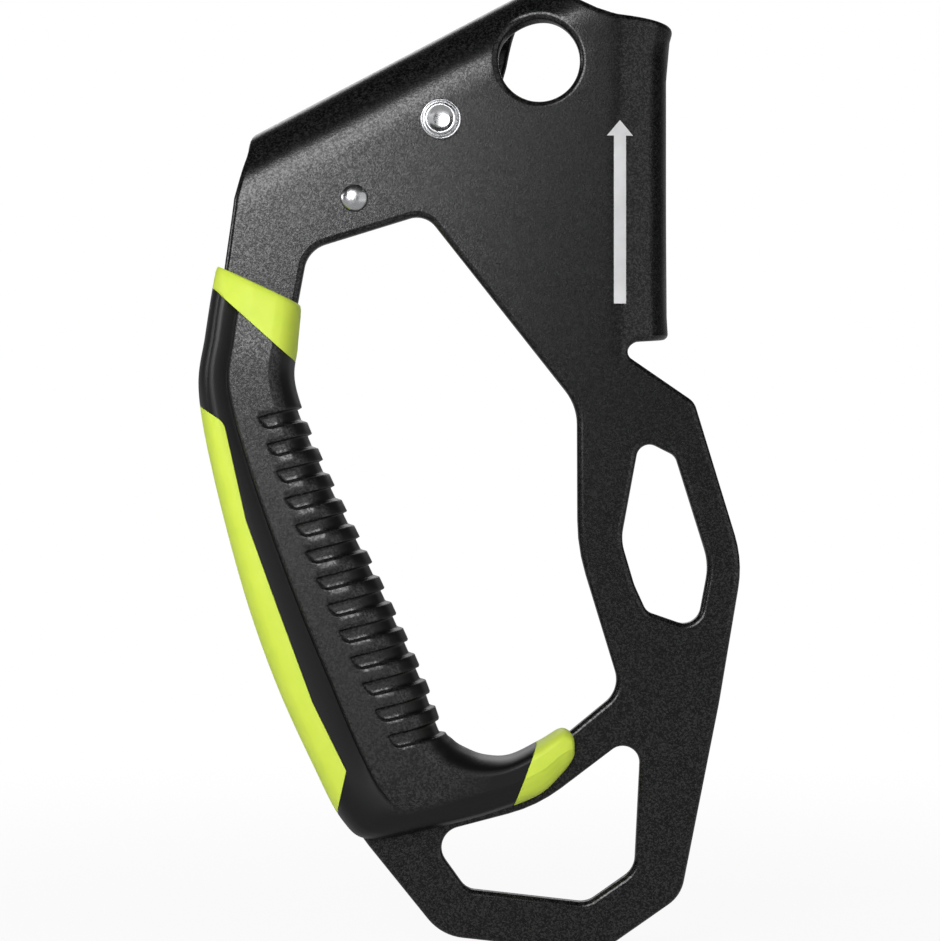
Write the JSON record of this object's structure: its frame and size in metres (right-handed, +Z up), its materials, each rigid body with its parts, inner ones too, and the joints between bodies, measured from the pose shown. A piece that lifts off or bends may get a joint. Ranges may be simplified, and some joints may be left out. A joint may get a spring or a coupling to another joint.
{
  "type": "rope ascender",
  "caption": "Handled rope ascender: folded plate with hand opening, moulded grip, and a sprung toothed cam with trigger behind the rope channel.",
  "frame": {"origin": "in the rope channel, level with the cam axle, midway between plate and lip", "axes": "+Z up the rope, +X from the handle to the rope, -Y out of the bare side of the plate"},
  "size_m": [0.1153, 0.0348, 0.2058],
  "materials": {
    "frame_black": "black coating with a fine grain, matte",
    "grip_black": "moulded, grainy flats and smoother sides",
    "lime": "moulded, smooth matte lime",
    "steel": "plated steel",
    "polished_steel": "bright rivet heads",
    "spring_steel": "drawn wire",
    "bronze": "plain bearing bronze",
    "trigger_black": "moulded black"
  },
  "bodies": {
    "frame_body": {"frame": "frame_black", "grip_body": "grip_black", "grip_top_band": "lime", "grip_back_strip": "lime", "grip_tip_band": "lime", "cam_axle": "polished_steel", "cam_washer_plate": "steel", "cam_washer_ear": "steel", "axle_end_washer": "steel", "cam_spring": "spring_steel", "stop_pin": "polished_steel"},
    "cam_body": {"cam": "steel", "cam_bush": "bronze", "trigger_pin": "polished_steel", "trigger_washer": "steel", "trigger_spring": "spring_steel"},
    "trigger_body": {"trigger_lever": "steel", "trigger_tab": "trigger_black"}
  },
  "joints": [
    {"name": "cam_pivot", "type": "hinge", "parent": "frame_body", "child": "cam_body", "pos_m": [-0.0364, 0, 0], "axis": [0, 1, 0], "range_deg": [0, 66], "stiffness_Nm_per_rad": 0.08, "springref_deg": -57.3, "deforming": ["cam_spring"]},
    {"name": "trigger_pivot", "type": "hinge", "parent": "cam_body", "child": "trigger_body", "pos_m": [-0.0234, 0, -0.0155], "axis": [0, 1, 0], "range_deg": [0, 22], "stiffness_Nm_per_rad": 0.01, "springref_deg": -34.38, "deforming": ["trigger_spring"]}
  ],
  "couplings": [
    {"joint": "trigger_pivot", "follows": "cam_pivot", "ratio": 0.33333}
  ]
}
